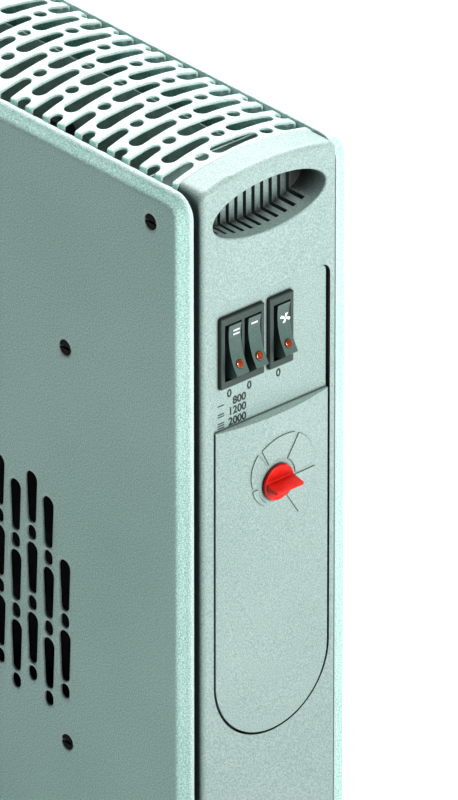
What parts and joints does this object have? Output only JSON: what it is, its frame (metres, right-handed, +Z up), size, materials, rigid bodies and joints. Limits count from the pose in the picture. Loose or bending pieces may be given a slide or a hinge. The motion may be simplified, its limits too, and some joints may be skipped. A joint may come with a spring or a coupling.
{
  "type": "electric convector heater",
  "caption": "Slim free-standing electric convector heater with perforated arched top, end-cap carry handles, rocker switches, red thermostat knob and tangential fan.",
  "frame": {"origin": "on the floor under the middle of the heater's overall box", "axes": "+Z up, +X along the case towards the end with the controls, -Y towards the front panel"},
  "size_m": [0.6498, 0.2, 0.4361],
  "materials": {
    "painted_steel": "satin powder coat",
    "galvanised_steel": "zinc coated sheet",
    "shield_black": "heat-resistant black",
    "moulded_casing": "fine moulded texture",
    "moulded_fascia": "fine moulded texture",
    "black_nylon": "semi-gloss moulded",
    "rocker_plastic": "smooth moulded",
    "neon_lens": "clear tinted",
    "tab_brass": "stamped",
    "bright_steel": "zinc plated",
    "red_plastic": "smooth moulded",
    "black_screws": "black oxide",
    "element_sheath": "heat-tinted sheath",
    "fin_aluminium": "rolled sheet",
    "steatite": "pressed and fired",
    "motor_steel": "lacquered",
    "bearing_bronze": "sintered",
    "terminal_nylon": "moulded",
    "lead_silicone": "extruded sleeve",
    "grommet_rubber": "moulded",
    "foot_plastic": "moulded"
  },
  "bodies": {
    "case": {"front_panel": "painted_steel", "rear_panel": "painted_steel", "top_grille": "painted_steel", "base_grille": "galvanised_steel", "right_end_cap": "moulded_casing", "left_end_cap": "moulded_casing", "control_fascia": "moulded_fascia", "double_switch_housing": "black_nylon", "fan_switch_housing": "black_nylon", "switch_tabs": "tab_brass", "thermostat_body": "black_nylon", "thermostat_screws": "bright_steel", "right_end_plate": "galvanised_steel", "left_end_plate": "galvanised_steel", "cap_screws": "bright_steel", "front_panel_screws": "black_screws", "rear_panel_screws": "black_screws", "front_standoffs": "galvanised_steel", "rear_standoffs": "galvanised_steel", "front_heat_shield": "shield_black", "rear_heat_shield": "galvanised_steel", "low_heat_rod": "element_sheath", "high_heat_rod": "element_sheath", "low_heat_fins": "fin_aluminium", "high_heat_fins": "fin_aluminium", "element_insulators": "steatite", "fan_motor": "motor_steel", "fan_bearing": "bearing_bronze", "motor_bracket": "galvanised_steel", "bearing_bracket": "galvanised_steel", "fan_air_guides": "galvanised_steel", "terminal_block": "terminal_nylon", "terminal_screws": "tab_brass", "thermal_cutout": "black_nylon", "internal_leads": "lead_silicone", "cord_inlet_bush": "grommet_rubber", "right_foot": "foot_plastic", "left_foot": "foot_plastic", "foot_pads": "grommet_rubber", "foot_screws": "bright_steel"},
    "high_heat_switch": {"high_heat_rocker": "rocker_plastic", "high_heat_lens": "neon_lens"},
    "low_heat_switch": {"low_heat_rocker": "rocker_plastic", "low_heat_lens": "neon_lens"},
    "fan_switch": {"fan_rocker": "rocker_plastic", "fan_lens": "neon_lens"},
    "thermostat_dial": {"thermostat_knob": "red_plastic", "thermostat_spindle": "bright_steel"},
    "fan": {"fan_rotor": "fin_aluminium", "fan_shaft": "bright_steel"}
  },
  "joints": [
    {"name": "high_heat_rock", "type": "hinge", "parent": "case", "child": "high_heat_switch", "pos_m": [0.30948, -0.01945, 0.3533], "axis": [0, 1, 0], "range_deg": [0, 26]},
    {"name": "low_heat_rock", "type": "hinge", "parent": "case", "child": "low_heat_switch", "pos_m": [0.30948, -0.00855, 0.3533], "axis": [0, 1, 0], "range_deg": [0, 26]},
    {"name": "fan_rock", "type": "hinge", "parent": "case", "child": "fan_switch", "pos_m": [0.30948, 0.0078, 0.3533], "axis": [0, 1, 0], "range_deg": [0, 26]},
    {"name": "thermostat_turn", "type": "hinge", "parent": "case", "child": "thermostat_dial", "pos_m": [0.315, 0.0027, 0.2845], "axis": [1, 0, 0], "range_deg": [-120, 120]},
    {"name": "fan_spin", "type": "hinge", "parent": "case", "child": "fan", "pos_m": [-0.00602, 0.002, 0.209], "axis": [1, 0, 0], "continuous": true}
  ]
}
